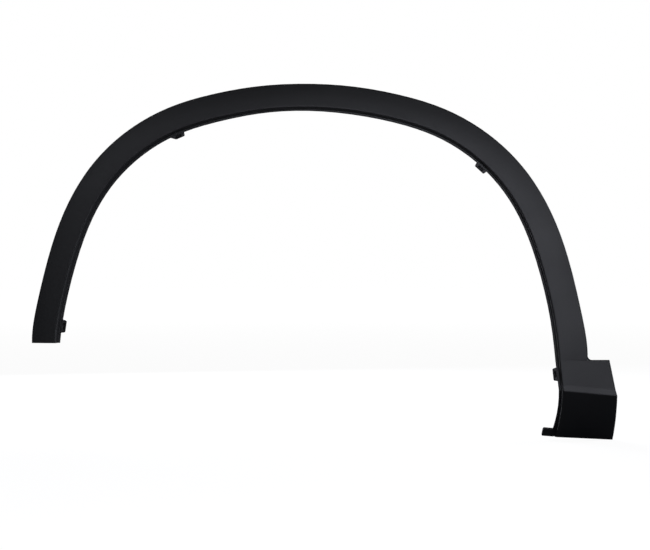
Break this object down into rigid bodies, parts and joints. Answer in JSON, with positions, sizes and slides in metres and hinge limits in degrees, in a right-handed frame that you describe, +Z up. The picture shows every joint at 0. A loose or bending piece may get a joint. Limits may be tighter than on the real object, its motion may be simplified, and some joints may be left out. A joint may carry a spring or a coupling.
{
  "type": "front wheel arch moulding",
  "caption": "Grained black plastic trim for a front wheel opening: curved band with rolled edge, flange, lip tabs and a rear sill block with tucked-under lower face",
  "frame": {"origin": "on the seat of the rear upper fixing tab, beside the middle of its recess", "axes": "+X towards the rear of the car, +Y inboard towards the fender, +Z up, as fitted to the left side of the car"},
  "size_m": [0.9473, 0.0646, 0.5765],
  "materials": {
    "grained_plastic": "fine-grained, satin black"
  },
  "bodies": {
    "root": {"arch_moulding": "grained_plastic"}
  },
  "joints": []
}
